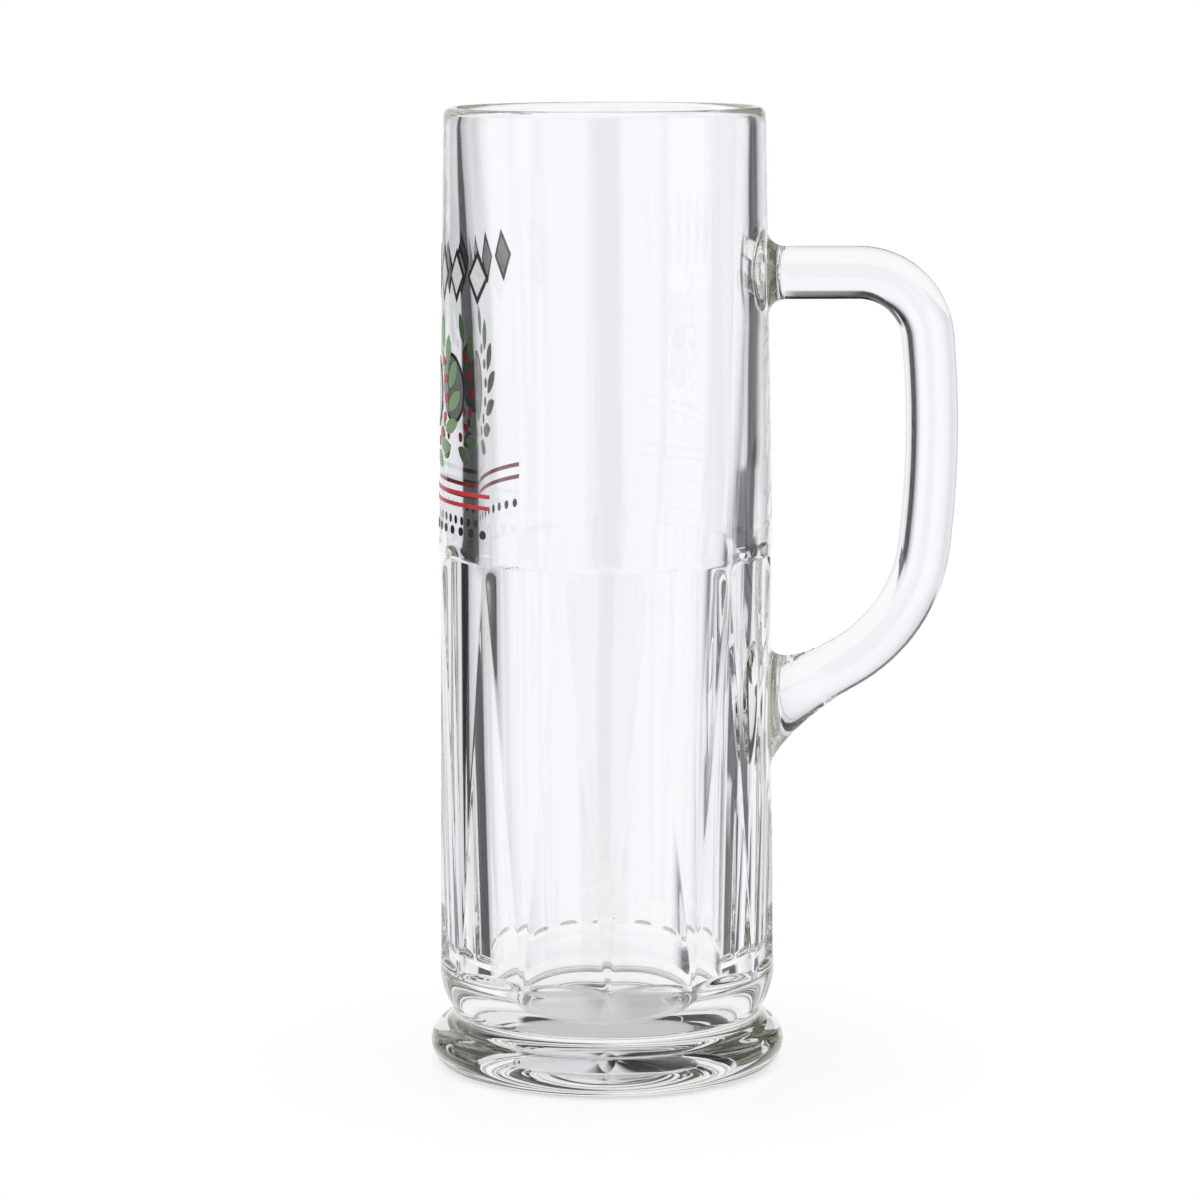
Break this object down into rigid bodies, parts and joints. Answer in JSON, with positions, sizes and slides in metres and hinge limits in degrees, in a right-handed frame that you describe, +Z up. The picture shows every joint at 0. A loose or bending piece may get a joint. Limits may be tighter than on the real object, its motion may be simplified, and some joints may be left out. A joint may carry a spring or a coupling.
{
  "type": "beer mug",
  "caption": "Tall clear pressed-glass beer mug with a round upper wall, lower half of flat panels and wedges, beaded foot, stuck-on oval glass handle and fired enamel decoration.",
  "frame": {"origin": "on the mug's axis, in the plane of the ring-shaped standing face", "axes": "+Z up along the mug's axis, +X towards the handle, -X towards the decoration"},
  "size_m": [0.1197, 0.0806, 0.2173],
  "materials": {
    "body_glass": "clear pressed soda-lime glass, fire-polished, faint green in thick places",
    "handle_glass": "clear solid soda-lime glass, fire-polished",
    "enamel_grey": "fired glass enamel, satin gloss, pale grey",
    "enamel_black": "fired glass enamel, satin gloss, black",
    "enamel_green": "fired glass enamel, satin gloss, leaf green",
    "enamel_red": "fired glass enamel, satin gloss, red"
  },
  "bodies": {
    "root": {"mug_body": "body_glass", "handle": "handle_glass", "print_lozenges": "enamel_grey", "print_lozenge_frames": "enamel_black", "print_leaves": "enamel_green", "print_berries": "enamel_red", "print_medallion": "enamel_grey", "print_rings": "enamel_black", "print_rules": "enamel_red", "print_dots": "enamel_black"}
  },
  "joints": []
}
